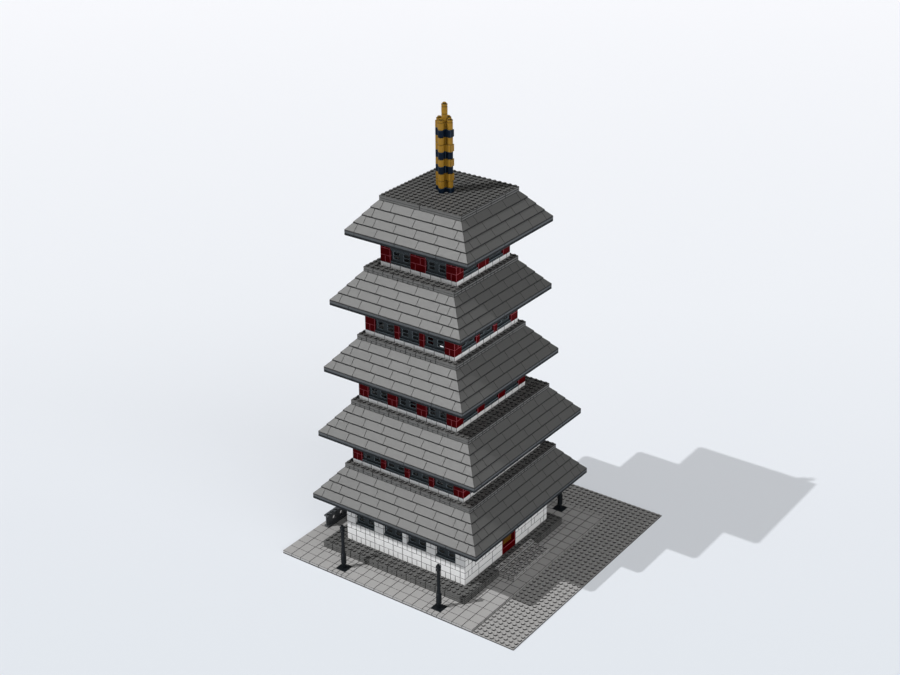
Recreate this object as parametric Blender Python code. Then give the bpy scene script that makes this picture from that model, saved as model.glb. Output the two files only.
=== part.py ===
"""A brick-built model of a five-storey pagoda, standing on its square studded baseplate.

X runs towards the door side, Y towards the back and Z up. The origin is the centre of the
baseplate's underside. Plans are given in studs counted from the baseplate's left front
corner, and heights in plates counted from its top face.
"""
import math

import bmesh
import bpy
from mathutils import Matrix, Vector

# Driving dimensions of the brick system, in metres
STUD = 0.008
PLATE = 0.0032
BRICK = 3
BASE_THICK = 0.0016
GAP = 0.0003
SIDE_SLACK = 0.00015
ROUND_SLACK = 0.0002

# Plan of the ground, in studs
BASE_STUDS = 48
PAVING = (0, 0, 40, 41)
PLINTH = (5, 5, 35, 35)
TERRACE_Y = (15, 26)
TERRACE_X = (34, 38)
PAVING_TOP = 1
TERRACE_TOP = 3
FLOOR = 4

# Ground storey, in studs and plates
WALL_THICK = 1
FACE_SHARE = 0.6
GROUND = (8, 8, 33, 33)
GROUND_SILL = 13
GROUND_TOP = 25
GROUND_BAYS = (2, 4, 2, 4, 1, 4, 2, 4, 2)
DOOR_BAY = (19, 23)

# Roofs and upper storeys: the left front and right back corners of each roof's eave, in
# studs, and of the storey above it, with the bays along one face from corner to corner
EAVES = ((4, 38), (5, 37), (6, 34), (7, 33), (9, 33))
FIRST_EAVE = 26
STOREY_RISE = 30
SLOPE_ROWS = 4
SLOPE_LIP = 0.0016
EAVE_PLATES = 2
LEDGE_PLATES = 2
SILL_PLATES = 2
WINDOW_PLATES = 12
UPPER_WALLS = ((9, 32), (10, 30), (11, 29), (13, 28))
UPPER_BAYS = (
    (2, 4, 1, 4, 1, 4, 1, 4, 2),
    (2, 4, 2, 4, 2, 4, 2),
    (2, 4, 1, 4, 1, 4, 2),
    (2, 4, 3, 4, 2),
)

# Window lattices, in metres
LATTICE_THICK = 0.0026
LATTICE_RAIL = 0.0026
LATTICE_STILE = 0.0024
LATTICE_ROWS = 2
PANEL_DEEP = (FACE_SHARE * STUD + GAP, FACE_SHARE * STUD + GAP + LATTICE_THICK)

# Door, in metres
JAMB = 0.0024
HEAD = 0.0032
LEAF_THICK = 0.0024
LEAF_RECESS = 0.0048
LEAF_SIDE_GAP = 0.0005
PIN_RADIUS = 0.0007
PIN_HOLE_RADIUS = 0.0010
PIN_LENGTH = 0.0014
PIN_HOLE_DEPTH = 0.0018
PIN_SIDES = 12
LEAF_EDGE_STEPS = 8
KNOB_RADIUS = 0.0012
KNOB_OUT = 0.0016
KNOB_FROM_EDGE = 0.0045
KNOB_SHARE_UP = 0.45

# Finial: the centre column's place in studs. Its courses are a brick high, but the first one
# is lower, in plates; the centre rises some courses over the others, and each column ends in
# a round plate with a stud
FINIAL_AT = (20.5, 20.5)
FIRST_COURSE = 2
SHARED_COURSES = 10
SPIRE_COURSES = 2
TOP_STUD_RADIUS = 0.0024
TOP_STUD_HIGH = 0.0017
SQUARE_HALF = STUD / 2 - SIDE_SLACK
ROUND_RADIUS = STUD / 2 - ROUND_SLACK
COLUMN_SIDES = 16

# Lamp posts: centres in studs, and the turned outline as radius and height in metres
LAMPS = ((12, 2), (32, 2), (12, 39), (32, 39))
LAMP_FOOT = 2
LAMP_SIDES = 12
LAMP_OUTLINE = (
    (0.0025, 0.0000),
    (0.0025, 0.0060),
    (0.0034, 0.0075),
    (0.0034, 0.0215),
    (0.0022, 0.0225),
    (0.0022, 0.0260),
    (0.0019, 0.0270),
    (0.0019, 0.0550),
    (0.0014, 0.0560),
    (0.0032, 0.0575),
    (0.0032, 0.0600),
    (0.0025, 0.0608),
    (0.0033, 0.0625),
    (0.0033, 0.0645),
    (0.0019, 0.0655),
    (0.0019, 0.0672),
)

# Free-standing lattice fence: place in studs, sizes in metres
FENCE_X = 1
FENCE_Y = (10, 18)
FENCE_HIGH = 2 * BRICK * PLATE
FENCE_BASE = 0.0024
FENCE_RAIL = 0.0024
FENCE_THICK = 0.0030
FENCE_HOLE_UP = 0.0092
FENCE_HOLE_RADIUS = 0.0035
FENCE_HOLE_APART = 2
FENCE_HOLE_SIDES = 10

COLOURS = {
    "light_grey": (0.35, 0.35, 0.34, 0.45),
    "dark_grey": (0.10, 0.10, 0.10, 0.45),
    "roof_grey": (0.26, 0.26, 0.255, 0.45),
    "slate": (0.018, 0.028, 0.035, 0.35),
    "white": (0.82, 0.82, 0.82, 0.4),
    "red": (0.22, 0.001, 0.003, 0.4),
    "brown": (0.10, 0.045, 0.004, 0.4),
    "gold": (0.48, 0.22, 0.012, 0.35),
    "navy": (0.006, 0.012, 0.03, 0.35),
}


def clear_scene():
    for obj in list(bpy.data.objects):
        bpy.data.objects.remove(obj, do_unlink=True)


def across(studs):
    """The X or Y coordinate of a place given in studs."""
    return (studs - BASE_STUDS / 2) * STUD


def level(plates):
    """The Z coordinate of a level given in plates above the baseplate's top."""
    return BASE_THICK + plates * PLATE


def make_materials():
    made = {}
    for name, (red, green, blue, roughness) in COLOURS.items():
        material = bpy.data.materials.new(name + "_plastic")
        material.use_nodes = True
        shader = material.node_tree.nodes["Principled BSDF"]
        shader.inputs["Base Color"].default_value = (red, green, blue, 1.0)
        shader.inputs["Roughness"].default_value = roughness
        shader.inputs["Metallic"].default_value = 0.0
        made[name] = material
    return made


def add_object(name, mesh_data, material, helper=False):
    mesh = bpy.data.meshes.new(name)
    bmesh.ops.recalc_face_normals(mesh_data, faces=mesh_data.faces[:])
    mesh_data.to_mesh(mesh)
    mesh_data.free()
    obj = bpy.data.objects.new(name, mesh)
    bpy.context.collection.objects.link(obj)
    if helper:
        obj.hide_render = True
        obj.display_type = "WIRE"
    else:
        mesh.materials.append(material)
    return obj


def box_into(mesh_data, low, high):
    """Adds a box between two corners, in metres."""
    centre = [(a + b) / 2 for a, b in zip(low, high)]
    size = [b - a for a, b in zip(low, high)]
    place = Matrix.Translation(centre) @ Matrix.Diagonal((*size, 1.0))
    bmesh.ops.create_cube(mesh_data, size=1.0, matrix=place)


def boxes(name, corners, material, helper=False):
    """One object from boxes, each given by its low and high corner in metres."""
    mesh_data = bmesh.new()
    for low, high in corners:
        box_into(mesh_data, low, high)
    return add_object(name, mesh_data, material, helper)


def slab(name, plan, bottom, top, material):
    """A flat slab with its plan in studs and its levels in plates, a gap above what it is on."""
    x0, y0, x1, y1 = plan
    low = (across(x0), across(y0), level(bottom) + GAP)
    high = (across(x1), across(y1), level(top))
    return boxes(name, [(low, high)], material)


def square_ring(name, outline, material):
    """A closed square ring: each outline point is the left front and right back corner in
    metres, with its height, and the loops of four corners are joined in turn."""
    mesh_data = bmesh.new()
    loops = []
    for low, high, z in outline:
        corners = ((low, low), (high, low), (high, high), (low, high))
        loops.append([mesh_data.verts.new((x, y, z)) for x, y in corners])
    for here, following in zip(loops, loops[1:] + loops[:1]):
        for side in range(4):
            after = (side + 1) % 4
            mesh_data.faces.new((here[side], here[after], following[after], following[side]))
    return add_object(name, mesh_data, material)


def plain_ring(name, outer, inner, bottom, top, material):
    """A square ring of even height: outer and inner are (low, high) in metres."""
    outline = ((*outer, bottom), (*outer, top), (*inner, top), (*inner, bottom))
    return square_ring(name, outline, material)


def combine(obj, other, operation):
    """A live Boolean with another object, which becomes a helper and isn't rendered."""
    modifier = obj.modifiers.new(operation.title() + "_" + other.name, "BOOLEAN")
    modifier.operation = operation
    modifier.object = other
    modifier.solver = "EXACT"
    return obj


def inset(pair, studs):
    """A (low, high) pair in studs, drawn in by some studs on both sides, in metres."""
    return across(pair[0] + studs), across(pair[1] - studs)


def bay_edges(start, bays):
    """The (low, high) studs of each window bay along a face that starts at a stud."""
    found = []
    at = start
    for index, width in enumerate(bays):
        if index % 2:
            found.append((at, at + width))
        at += width
    return found


def build_ground(paint):
    half = BASE_STUDS / 2 * STUD
    boxes("baseplate", [((-half, -half, 0), (half, half, BASE_THICK))], paint["light_grey"])
    build_paving(paint)
    build_plinth(paint)


def build_paving(paint):
    """The field of flat tiles, open for the plinth, the terrace and the lamp posts' feet."""
    paving = slab("paving", PAVING, 0, PAVING_TOP, paint["light_grey"])
    deep = (level(0) - STUD, level(PAVING_TOP) + STUD)
    terrace = (PLINTH[2] - 1, TERRACE_Y[0], TERRACE_X[1], TERRACE_Y[1])
    for name, plan in (("plinth", PLINTH), ("terrace", terrace)):
        hole = boxes(f"paving_{name}_hole", [with_gap(plan, deep)], None, helper=True)
        combine(paving, hole, "DIFFERENCE")
    lamps = [lamp_hole(lamp, deep) for lamp in LAMPS]
    combine(paving, boxes("paving_lamp_holes", lamps, None, helper=True), "DIFFERENCE")


def with_gap(plan, deep):
    """A cutter's corners: a plan in studs widened by the gap all round, and two heights."""
    x0, y0, x1, y1 = (across(studs) for studs in plan)
    return (x0 - GAP, y0 - GAP, deep[0]), (x1 + GAP, y1 + GAP, deep[1])


def build_plinth(paint):
    """The dark platform and, let into its edge, the terrace in front of the door."""
    plinth = slab("plinth", PLINTH, 0, FLOOR, paint["dark_grey"])
    deep = (level(0) - STUD, level(FLOOR) + STUD)
    notch = (TERRACE_X[0], TERRACE_Y[0], PLINTH[2] + 1, TERRACE_Y[1])
    cutter = boxes("plinth_terrace_notch", [with_gap(notch, deep)], None, helper=True)
    combine(plinth, cutter, "DIFFERENCE")

    inner, edge, outer = across(TERRACE_X[0]), across(PLINTH[2]), across(TERRACE_X[1])
    foot = level(0) + GAP
    outline = (
        (inner, foot),
        (outer, foot),
        (outer, level(TERRACE_TOP)),
        (edge, level(TERRACE_TOP)),
        (edge, level(FLOOR)),
        (inner, level(FLOOR)),
    )
    ends = across(TERRACE_Y[0]), across(TERRACE_Y[1])
    extruded("entrance_steps", outline, "Y", *ends, paint["light_grey"])


def lamp_hole(lamp, deep):
    reach = LAMP_FOOT / 2 * STUD + GAP
    x, y = across(lamp[0]), across(lamp[1])
    return (x - reach, y - reach, deep[0]), (x + reach, y + reach, deep[1])


def extruded(name, outline, along, start, end, material, helper=False):
    """A flat outline pushed from start to end along X, Y or Z, the outline's points being in
    the other two axes, in metres."""
    place = {
        "X": lambda a, b, c: (c, a, b),
        "Y": lambda a, b, c: (a, c, b),
        "Z": lambda a, b, c: (a, b, c),
    }[along]
    mesh_data = bmesh.new()
    first = [mesh_data.verts.new(place(a, b, start)) for a, b in outline]
    face = mesh_data.faces.new(first)
    pushed = bmesh.ops.extrude_face_region(mesh_data, geom=[face])["geom"]
    step = Vector(place(0, 0, end - start))
    moved = [part for part in pushed if isinstance(part, bmesh.types.BMVert)]
    bmesh.ops.translate(mesh_data, vec=step, verts=moved)
    return add_object(name, mesh_data, material, helper)


def wall_outline(start, end, bays):
    """The wall's side view: a plain lower part with pillars between the windows."""
    foot = level(FLOOR) + GAP
    points = [(across(start), foot), (across(end), foot), (across(end), level(GROUND_TOP))]
    for low, high in reversed(bays):
        points.append((across(high), level(GROUND_TOP)))
        points.append((across(high), level(GROUND_SILL)))
        points.append((across(low), level(GROUND_SILL)))
        points.append((across(low), level(GROUND_TOP)))
    points.append((across(start), level(GROUND_TOP)))
    return points


def build_ground_walls(paint):
    """Five walls: the front and back ones run past the ends of the others, and the door
    frame stands between the two on the right. Above the sill they are thinned behind."""
    x0, y0, x1, y1 = GROUND
    low, high = across(x0), across(x1)
    thick = WALL_THICK * STUD
    behind = inset((x0, x1), FACE_SHARE)
    rebate_low = (behind[0], behind[0], level(GROUND_SILL))
    rebate_high = (behind[1], behind[1], level(GROUND_TOP) + STUD)
    rebate = boxes("lattice_rebate", [(rebate_low, rebate_high)], None, helper=True)
    bays = bay_edges(x0, GROUND_BAYS)
    slit = GAP / STUD
    inner = (y0 + WALL_THICK + slit, y1 - WALL_THICK - slit)
    beside = (DOOR_BAY[0] - slit, DOOR_BAY[1] + slit)
    walls = (
        ("front_wall", "Y", (low, low + thick), (x0, x1), bays),
        ("back_wall", "Y", (high - thick, high), (x0, x1), bays),
        ("left_wall", "X", (low, low + thick), inner, bays),
        ("right_wall_front", "X", (high - thick, high), (inner[0], beside[0]), bays[:1]),
        ("right_wall_back", "X", (high - thick, high), (beside[1], inner[1]), bays[-1:]),
    )
    for name, along, faces, ends, wall_bays in walls:
        outline = wall_outline(*ends, wall_bays)
        wall = extruded(name, outline, along, *faces, paint["white"])
        combine(wall, rebate, "DIFFERENCE")

    top = (level(GROUND_TOP) + GAP, level(FIRST_EAVE))
    plain_ring("wall_plate", (low, high), inset((x0, x1), WALL_THICK), *top, paint["white"])


def build_door(paint):
    """The red frame with its threshold, and the leaf that turns on the jamb at the back end."""
    face = across(GROUND[2])
    y0, y1 = across(DOOR_BAY[0]), across(DOOR_BAY[1])
    sill = level(FLOOR + BRICK)
    head = level(GROUND_TOP) - HEAD
    outline = (
        (y0, level(FLOOR) + GAP),
        (y1, level(FLOOR) + GAP),
        (y1, level(GROUND_TOP)),
        (y0, level(GROUND_TOP)),
    )
    frame = extruded("door_frame", outline, "X", face - STUD, face, paint["red"])
    low = (face - 2 * STUD, y0 + JAMB, sill)
    high = (face + STUD, y1 - JAMB, head)
    combine(frame, boxes("doorway", [(low, high)], None, helper=True), "DIFFERENCE")

    pin_x = face - LEAF_RECESS - LEAF_THICK / 2
    pin_y = y1 - JAMB - LEAF_SIDE_GAP - LEAF_THICK / 2
    bottom = sill + GAP
    top = head - GAP
    hole_outline = ((PIN_HOLE_RADIUS, -PIN_HOLE_DEPTH), (PIN_HOLE_RADIUS, PIN_HOLE_DEPTH))
    for name, z in (("pin_hole_low", sill), ("pin_hole_high", head)):
        hole = turned(name, hole_outline, PIN_SIDES, None, helper=True)
        hole.location = (pin_x, pin_y, z)
        combine(frame, hole, "DIFFERENCE")

    hinge = bpy.data.objects.new("door_hinge", None)
    bpy.context.collection.objects.link(hinge)
    hinge.location = (pin_x, pin_y, bottom)
    width = pin_y - (y0 + JAMB + LEAF_SIDE_GAP)
    half = LEAF_THICK / 2
    high_z = top - bottom
    leaf_outline = [(-half, -width), (half, -width)]
    for step in range(LEAF_EDGE_STEPS + 1):
        angle = math.pi * step / LEAF_EDGE_STEPS
        leaf_outline.append((half * math.cos(angle), half * math.sin(angle)))
    leaf = extruded("door_leaf", leaf_outline, "Z", 0, high_z, paint["brown"])
    pin_outline = ((PIN_RADIUS, -PIN_LENGTH), (PIN_RADIUS, high_z + PIN_LENGTH))
    pins = turned("leaf_pins", pin_outline, PIN_SIDES, None, helper=True)
    knob_outline = ((KNOB_RADIUS, 0), (KNOB_RADIUS, half + KNOB_OUT))
    knob = turned("leaf_knob", knob_outline, PIN_SIDES, None, helper=True)
    knob.rotation_euler = (0, math.pi / 2, 0)
    knob.location = (0, -width + KNOB_FROM_EDGE, high_z * KNOB_SHARE_UP)
    combine(leaf, pins, "UNION")
    combine(leaf, knob, "UNION")
    for piece in (leaf, pins, knob):
        piece.parent = hinge


def circle(radius, sides):
    angles = [2 * math.pi * side / sides for side in range(sides)]
    return [(radius * math.cos(angle), radius * math.sin(angle)) for angle in angles]


def square(half, sides):
    """A square with as many points as a circle has, each at the same bearing."""
    points = []
    for x, y in circle(1, sides):
        stretch = half / max(abs(x), abs(y))
        points.append((x * stretch, y * stretch))
    return points


def turned(name, outline, sides, material, helper=False):
    """A solid turned about Z from (radius, height) points given from the bottom up."""
    rings = [(circle(radius, sides), z) for radius, z in outline]
    return lofted(name, rings, material, helper)


def lofted(name, rings, material, helper=False):
    """A closed solid through rings of points in plan, each with its height, from the bottom."""
    mesh_data = bmesh.new()
    loops = [[mesh_data.verts.new((x, y, z)) for x, y in points] for points, z in rings]
    sides = len(loops[0])
    for here, above in zip(loops, loops[1:]):
        for side in range(sides):
            after = (side + 1) % sides
            mesh_data.faces.new((here[side], here[after], above[after], above[side]))
    mesh_data.faces.new(loops[0])
    mesh_data.faces.new(loops[-1])
    obj = add_object(name, mesh_data, material, helper)
    obj.data.shade_smooth()
    obj.data.set_sharp_from_angle(angle=math.radians(40))
    return obj


def build_roof(number, paint):
    """One roof: the dark eave plate, then a grey plate with rows of sloping bricks, each row
    a stud in from the row below, open inside."""
    low, high = EAVES[number]
    base = FIRST_EAVE + STOREY_RISE * number
    wall = (GROUND[0], GROUND[2]) if number == 0 else UPPER_WALLS[number - 1]
    eave_inner = inset(wall, WALL_THICK)
    outer = (across(low), across(high))
    heights = (level(base) + GAP, level(base + 1))
    plain_ring(f"eave_plate_{number + 1}", outer, eave_inner, *heights, paint["slate"])

    outline = [(*eave_inner, level(base + 1) + GAP), (*outer, level(base + 1) + GAP)]
    inner_side = [(*eave_inner, level(base + EAVE_PLATES))]
    for row in range(SLOPE_ROWS):
        foot = level(base + EAVE_PLATES + BRICK * row)
        top = foot + BRICK * PLATE
        if row:
            outline.append((*inset((low, high), row), foot))
        outline.append((*inset((low, high), row), foot + SLOPE_LIP))
        inner_side.append((*inset((low, high), row + 2), foot))
        inner_side.append((*inset((low, high), row + 2), top))
    outline.append((*inset((low, high), SLOPE_ROWS), level(ledge_levels(number)[0])))
    square_ring(f"roof_{number + 1}", outline + inner_side[::-1], paint["roof_grey"])


def ledge_levels(number):
    bottom = FIRST_EAVE + STOREY_RISE * number + EAVE_PLATES + BRICK * SLOPE_ROWS
    return bottom, bottom + LEDGE_PLATES


def build_ledge(number, paint):
    bottom, top = ledge_levels(number)
    outer = inset(EAVES[number], SLOPE_ROWS)
    inner = inset(UPPER_WALLS[number], WALL_THICK)
    heights = (level(bottom) + GAP, level(top))
    plain_ring(f"ledge_{number + 1}", outer, inner, *heights, paint["dark_grey"])


def build_deck(paint):
    last = len(EAVES) - 1
    bottom, top = ledge_levels(last)
    low, high = EAVES[last]
    plan = (low + SLOPE_ROWS, low + SLOPE_ROWS, high - SLOPE_ROWS, high - SLOPE_ROWS)
    slab("roof_deck", plan, bottom, top, paint["dark_grey"])


def bay_boxes(pair, bays, bottom, top, along_x):
    """Boxes that run through two opposite faces of a storey at each window bay."""
    ends = across(pair[0]) - STUD, across(pair[1]) + STUD
    found = []
    for low, high in bays:
        sides = across(low), across(high)
        if along_x:
            found.append(((ends[0], sides[0], bottom), (ends[1], sides[1], top)))
        else:
            found.append(((sides[0], ends[0], bottom), (sides[1], ends[1], top)))
    return found


def build_storey_wall(number, paint):
    """White sill course with the red pillars on it, thinned behind for the window lattices."""
    name = f"storey_{number + 2}"
    pair = UPPER_WALLS[number]
    foot = ledge_levels(number)[1]
    sill = foot + SILL_PLATES
    top = sill + WINDOW_PLATES
    outer = (across(pair[0]), across(pair[1]))
    inner = inset(pair, WALL_THICK)
    wall = plain_ring(f"{name}_wall", outer, inner, level(foot) + GAP, level(top), paint["red"])
    behind = inset(pair, FACE_SHARE)
    low = (behind[0], behind[0], level(sill))
    high = (behind[1], behind[1], level(top) + STUD)
    combine(wall, boxes(f"{name}_rebate", [(low, high)], None, helper=True), "DIFFERENCE")
    bays = bay_edges(pair[0], UPPER_BAYS[number])
    for along_x in (True, False):
        cut = bay_boxes(pair, bays, level(sill), level(top) + STUD, along_x)
        helper = boxes(f"{name}_bays_{'x' if along_x else 'y'}", cut, None, helper=True)
        combine(wall, helper, "DIFFERENCE")


def side_box(side, pair, deep, along, heights):
    """A box in one side of a storey: deep says how far behind the wall's face it starts and
    ends, along where it runs from and to, and heights its bottom and top, all in metres."""
    low, high = across(pair[0]), across(pair[1])
    if side in ("left", "front"):
        through = (low + deep[0], low + deep[1])
    else:
        through = (high - deep[1], high - deep[0])
    if side in ("left", "right"):
        return (through[0], along[0], heights[0]), (through[1], along[1], heights[1])
    return (along[0], through[0], heights[0]), (along[1], through[1], heights[1])


def finish_lattice(panels, name, pair, bays_by_side, heights):
    """Gives the panels of a storey a bottom rail that comes forward to the wall's face in
    each bay, and two openings there, one above the other."""
    bottom, top = heights
    room = (top - bottom - (LATTICE_ROWS + 1) * LATTICE_RAIL) / LATTICE_ROWS
    rail_heights = (bottom, bottom + LATTICE_RAIL - GAP)
    rail_deep = (0, PANEL_DEEP[0] + LATTICE_THICK / 2)
    rails = []
    openings = []
    for side, bays in bays_by_side.items():
        for low, high in bays:
            bay = (across(low) + GAP, across(high) - GAP)
            rails.append(side_box(side, pair, rail_deep, bay, rail_heights))
            clear = (across(low) + LATTICE_STILE, across(high) - LATTICE_STILE)
            for row in range(LATTICE_ROWS):
                sill = bottom + LATTICE_RAIL + row * (room + LATTICE_RAIL)
                through = (-STUD, 2 * STUD)
                openings.append(side_box(side, pair, through, clear, (sill, sill + room)))
    combine(panels, boxes(f"{name}_rails", rails, None, helper=True), "UNION")
    combine(panels, boxes(f"{name}_openings", openings, None, helper=True), "DIFFERENCE")


def build_ground_windows(paint):
    """Flat panels behind the ground pillars: one on each plain side, and one on each side of
    the door frame."""
    pair = (GROUND[0], GROUND[2])
    heights = (level(GROUND_SILL) + GAP, level(GROUND_TOP) - GAP)
    bays = bay_edges(pair[0], GROUND_BAYS)
    ends = (across(pair[0]) + PANEL_DEEP[0], across(pair[1]) - PANEL_DEEP[0])
    inner = (ends[0] + LATTICE_THICK + GAP, ends[1] - LATTICE_THICK - GAP)
    panels = (
        ("front", "front", ends, bays),
        ("back", "back", ends, bays),
        ("left", "left", inner, bays),
        ("right_front", "right", (inner[0], across(DOOR_BAY[0]) - GAP), bays[:1]),
        ("right_back", "right", (across(DOOR_BAY[1]) + GAP, inner[1]), bays[-1:]),
    )
    for place, side, along, panel_bays in panels:
        name = f"ground_windows_{place}"
        panel = boxes(name, [side_box(side, pair, PANEL_DEEP, along, heights)], paint["slate"])
        finish_lattice(panel, name, pair, {side: panel_bays}, heights)


def build_storey_windows(number, paint):
    """A ring of panels behind an upper storey's pillars."""
    pair = UPPER_WALLS[number]
    sill = ledge_levels(number)[1] + SILL_PLATES
    heights = (level(sill) + GAP, level(sill + WINDOW_PLATES) - GAP)
    name = f"storey_{number + 2}_windows"
    low, high = across(pair[0]), across(pair[1])
    front = (low + PANEL_DEEP[0], high - PANEL_DEEP[0])
    back = (low + PANEL_DEEP[1], high - PANEL_DEEP[1])
    ring = plain_ring(name, front, back, *heights, paint["slate"])
    bays = bay_edges(pair[0], UPPER_BAYS[number])
    every_side = {side: bays for side in ("front", "back", "left", "right")}
    finish_lattice(ring, name, pair, every_side, heights)


def finial_rings(courses):
    """The rings of one column: courses that are square or circle in plan, then a round plate
    and a stud. Neighbouring courses of one shape run on with no ring between them."""
    deck = ledge_levels(len(EAVES) - 1)[1]
    heights = [level(deck) + GAP]
    for number in range(len(courses)):
        heights.append(level(deck + FIRST_COURSE + BRICK * number))
    shapes = courses + [circle]
    heights.append(heights[-1] + PLATE)
    rings = []
    for number, shape in enumerate(shapes):
        reach = SQUARE_HALF if shape is square else ROUND_RADIUS
        points = shape(reach, COLUMN_SIDES)
        if number == 0 or shapes[number - 1] is not shape:
            rings.append((points, heights[number]))
        if number + 1 == len(shapes) or shapes[number + 1] is not shape:
            rings.append((points, heights[number + 1]))
    stud = circle(TOP_STUD_RADIUS, COLUMN_SIDES)
    rings.append((stud, heights[-1]))
    rings.append((stud, heights[-1] + TOP_STUD_HIGH))
    return rings


def build_finial(paint):
    """Five columns in a cross: long bricks run from the left one through the centre, and in
    every other course on through the right one, so those courses are square in plan."""
    all_round = [circle] * SHARED_COURSES
    all_square = [square] * SHARED_COURSES
    by_turns = [square, circle] * (SHARED_COURSES // 2)
    columns = (
        ("finial_column_front", (0, -1), all_round),
        ("finial_column_back", (0, 1), all_round),
        ("finial_column_left", (-1, 0), all_square),
        ("finial_column_right", (1, 0), by_turns),
        ("finial_spire", (0, 0), all_square + [circle] * SPIRE_COURSES),
    )
    for name, (dx, dy), courses in columns:
        column = lofted(name, finial_rings(courses), paint["gold"])
        column.location = (across(FINIAL_AT[0] + dx), across(FINIAL_AT[1] + dy), 0)


def build_lamps(paint):
    for number, (x, y) in enumerate(LAMPS):
        outline = [(radius, level(PAVING_TOP) + z) for radius, z in LAMP_OUTLINE]
        post = turned(f"lamp_post_{number + 1}", outline, LAMP_SIDES, paint["slate"])
        reach = LAMP_FOOT / 2 * STUD
        foot_low = (-reach, -reach, level(0) + GAP)
        foot_high = (reach, reach, level(PAVING_TOP) + GAP)
        foot = boxes(f"lamp_foot_{number + 1}", [(foot_low, foot_high)], None, helper=True)
        place = (across(x), across(y), 0)
        post.location = place
        foot.location = place
        combine(post, foot, "UNION")


def build_fence(paint):
    """A low fence with a wide foot and rail, and a thin web with round holes between them."""
    foot = level(PAVING_TOP) + GAP
    y0, y1 = across(FENCE_Y[0]), across(FENCE_Y[1])
    x0, x1 = across(FENCE_X), across(FENCE_X + 1)
    top = foot + FENCE_HIGH
    web = (STUD - FENCE_THICK) / 2
    rail_low = foot + FENCE_BASE
    rail_high = top - FENCE_RAIL
    outline = (
        (x0, foot),
        (x1, foot),
        (x1, rail_low),
        (x1 - web, rail_low),
        (x1 - web, rail_high),
        (x1, rail_high),
        (x1, top),
        (x0, top),
        (x0, rail_high),
        (x0 + web, rail_high),
        (x0 + web, rail_low),
        (x0, rail_low),
    )
    fence = extruded("lattice_fence", outline, "Y", y0, y1, paint["slate"])
    mesh_data = bmesh.new()
    for y in range(FENCE_Y[0] + FENCE_HOLE_APART, FENCE_Y[1], FENCE_HOLE_APART):
        place = Matrix.Translation((across(FENCE_X + 0.5), across(y), foot + FENCE_HOLE_UP))
        bmesh.ops.create_cone(
            mesh_data,
            cap_ends=True,
            segments=FENCE_HOLE_SIDES,
            radius1=FENCE_HOLE_RADIUS,
            radius2=FENCE_HOLE_RADIUS,
            depth=2 * STUD,
            matrix=place @ Matrix.Rotation(math.pi / 2, 4, "Y"),
        )
    combine(fence, add_object("fence_holes", mesh_data, None, helper=True), "DIFFERENCE")


def main():
    clear_scene()
    paint = make_materials()
    build_ground(paint)
    build_ground_walls(paint)
    build_ground_windows(paint)
    build_door(paint)
    for number in range(len(EAVES)):
        build_roof(number, paint)
    for number in range(len(UPPER_WALLS)):
        build_ledge(number, paint)
        build_storey_wall(number, paint)
        build_storey_windows(number, paint)
    build_deck(paint)
    build_finial(paint)
    build_lamps(paint)
    build_fence(paint)


main()
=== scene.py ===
# %% [markdown]
# # A brick-built pagoda, laid course by course
#
# The real object is a table-top model: a five-storey pagoda put together from toy bricks on a
# square studded baseplate. Everything on it stands on one grid, so every size below follows from
# three numbers: the pitch of the studs, the height of a plate and the height of a brick. We load
# the solid model as a fixed frame first, and then lay bricks where its plain solids stand.

# %% The frame
import math
from functools import cache

import bpy
from mathutils import Matrix, Vector


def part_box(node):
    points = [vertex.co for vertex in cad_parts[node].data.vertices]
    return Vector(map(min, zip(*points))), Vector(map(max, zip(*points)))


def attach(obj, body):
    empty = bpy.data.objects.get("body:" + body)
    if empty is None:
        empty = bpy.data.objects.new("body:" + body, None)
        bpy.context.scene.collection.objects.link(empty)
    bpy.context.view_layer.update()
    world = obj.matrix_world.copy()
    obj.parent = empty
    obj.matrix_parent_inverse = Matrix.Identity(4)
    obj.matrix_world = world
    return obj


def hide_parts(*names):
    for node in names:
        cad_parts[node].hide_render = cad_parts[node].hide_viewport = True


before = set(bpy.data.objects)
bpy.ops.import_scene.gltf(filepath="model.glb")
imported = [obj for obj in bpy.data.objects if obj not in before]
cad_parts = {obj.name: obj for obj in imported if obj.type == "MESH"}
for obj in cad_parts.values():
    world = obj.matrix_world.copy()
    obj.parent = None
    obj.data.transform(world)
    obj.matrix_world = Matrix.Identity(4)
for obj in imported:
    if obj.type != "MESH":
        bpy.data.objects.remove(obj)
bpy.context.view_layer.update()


# %% [markdown]
# The bricks give us the units. A place on the plan is counted in studs from the baseplate's left
# front corner, and a height in plates above its top face. Two small functions turn both into
# metres, and a third reads a node's plan back from the frame in studs.

# %% Studs and plates
STUD = 0.008
PLATE = 0.0032
BRICK = 3
base_low, base_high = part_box("baseplate")
BASE_STUDS = round((base_high.x - base_low.x) / STUD)


def across(studs):
    """The X or Y coordinate of a place counted in studs."""
    return base_low.x + studs * STUD


def level(plates):
    """The Z coordinate of a level counted in plates."""
    return base_high.z + plates * PLATE


def plan_of(node):
    """A node's low and high edge in studs, and its bottom and top in plates."""
    low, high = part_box(node)
    edges = [round((x - base_low.x) / STUD) for x in (low.x, high.x)]
    levels = [round((z - base_high.z) / PLATE) for z in (low.z, high.z)]
    return (*edges, *levels)


print("baseplate:", BASE_STUDS, "studs; first roof:", plan_of("roof_1"))

# %% [markdown]
# The camera stands off the tower's right front corner and looks down on the model. Its place was
# worked out once from the studs that can be counted along two edges of the baseplate, so it is
# given as an eye point, a turn and a tilt. A long lens keeps the tower's sides nearly parallel.

# %% Camera
EYE = (1.0992, -1.5703, 1.2499)
TURN = math.radians(34.971)
TILT = math.radians(25.868)
LENS_MM = 64.29
SHIFT_RIGHT = -0.0294
SHIFT_UP = -0.0082

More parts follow.
